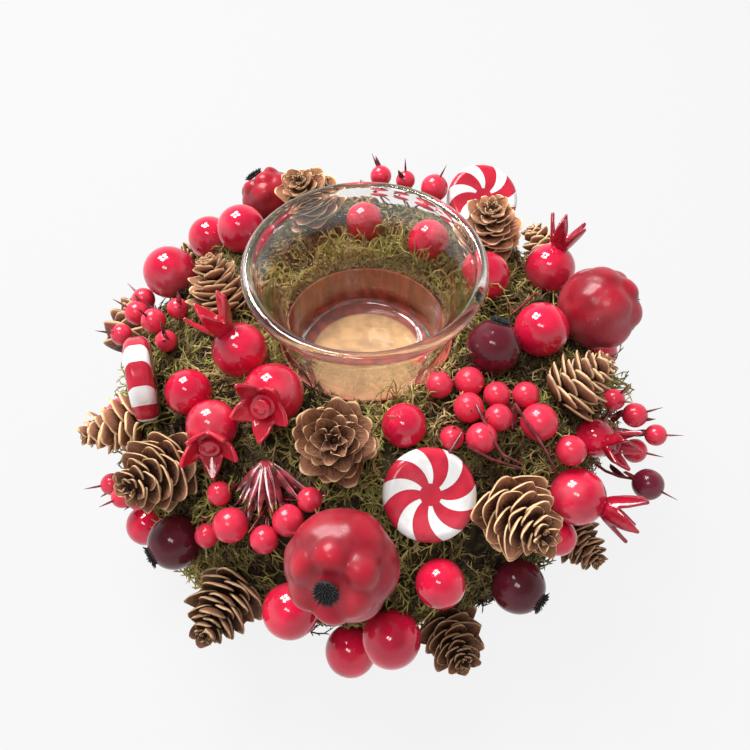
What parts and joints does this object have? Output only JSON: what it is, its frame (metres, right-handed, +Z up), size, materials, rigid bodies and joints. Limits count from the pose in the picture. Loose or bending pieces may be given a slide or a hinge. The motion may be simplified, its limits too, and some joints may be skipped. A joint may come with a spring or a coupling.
{
  "type": "candle ring",
  "caption": "Round moss mound dressed with pine cones, berries, small fruits and peppermint discs, with a lift-out flared glass tealight cup in the middle.",
  "frame": {"origin": "centre of the base card's underside, on the upright axis of the cup", "axes": "+Z up out of the cup's mouth, -Y towards the front seen in the picture, +X to the right in it"},
  "size_m": [0.2006, 0.1991, 0.093],
  "materials": {
    "card": "matte",
    "foam": "matte",
    "kraft_paper": "matte",
    "moss": "matte",
    "clear_glass": "polished",
    "cone_brown": "matte",
    "red_lacquer": "gloss",
    "burgundy_lacquer": "gloss",
    "fruit_red": "satin",
    "pomegranate_red": "gloss",
    "candy_red": "gloss",
    "candy_white": "satin",
    "calyx_black": "matte",
    "twig_red": "satin",
    "wire": "satin"
  },
  "bodies": {
    "ring": {"base_card": "card", "cone_back": "cone_brown", "cone_back_left": "cone_brown", "cone_back_low": "cone_brown", "cone_front": "cone_brown", "cone_front_left": "cone_brown", "cone_front_low": "cone_brown", "cone_front_right": "cone_brown", "cone_left": "cone_brown", "cone_left_back": "cone_brown", "cone_left_front": "cone_brown", "cone_left_low": "cone_brown", "cone_right": "cone_brown", "cone_right_back": "cone_brown", "cone_right_low": "cone_brown", "cone_right_outer": "cone_brown", "cone_right_side": "cone_brown", "dark_berries": "burgundy_lacquer", "dark_berry_calyxes": "calyx_black", "foam_core": "foam", "fruit_back": "fruit_red", "fruit_calyxes": "calyx_black", "fruit_front": "fruit_red", "fruit_right": "fruit_red", "moss_blanket": "moss", "peppermint_back": "candy_red", "peppermint_back_stripes": "candy_white", "peppermint_front": "candy_red", "peppermint_front_stripes": "candy_white", "peppermint_left": "candy_red", "peppermint_left_stripes": "candy_white", "pick_wires": "wire", "pomegranate_left_front": "pomegranate_red", "pomegranate_left_inner": "pomegranate_red", "pomegranate_left_outer": "pomegranate_red", "pomegranate_right": "pomegranate_red", "pomegranate_right_back": "pomegranate_red", "pomegranate_right_front": "pomegranate_red", "recess_liner": "kraft_paper", "red_berries_back": "red_lacquer", "red_berries_front": "red_lacquer", "red_berries_left": "red_lacquer", "red_berries_right": "red_lacquer", "spray_back_berries": "red_lacquer", "spray_back_twigs": "twig_red", "spray_far_left_berries": "red_lacquer", "spray_far_left_twigs": "twig_red", "spray_far_right_berries": "red_lacquer", "spray_far_right_twigs": "twig_red", "spray_front_left_berries": "red_lacquer", "spray_front_left_twigs": "twig_red", "spray_left_berries": "red_lacquer", "spray_left_twigs": "twig_red", "spray_right_berries": "red_lacquer", "spray_right_front_berries": "red_lacquer", "spray_right_front_twigs": "twig_red", "spray_right_twigs": "twig_red"},
    "cup": {"glass_cup": "clear_glass"}
  },
  "joints": [
    {"name": "cup_lift", "type": "slide", "parent": "ring", "child": "cup", "axis": [0, 0, 1], "range_m": [0, 0.06]}
  ]
}
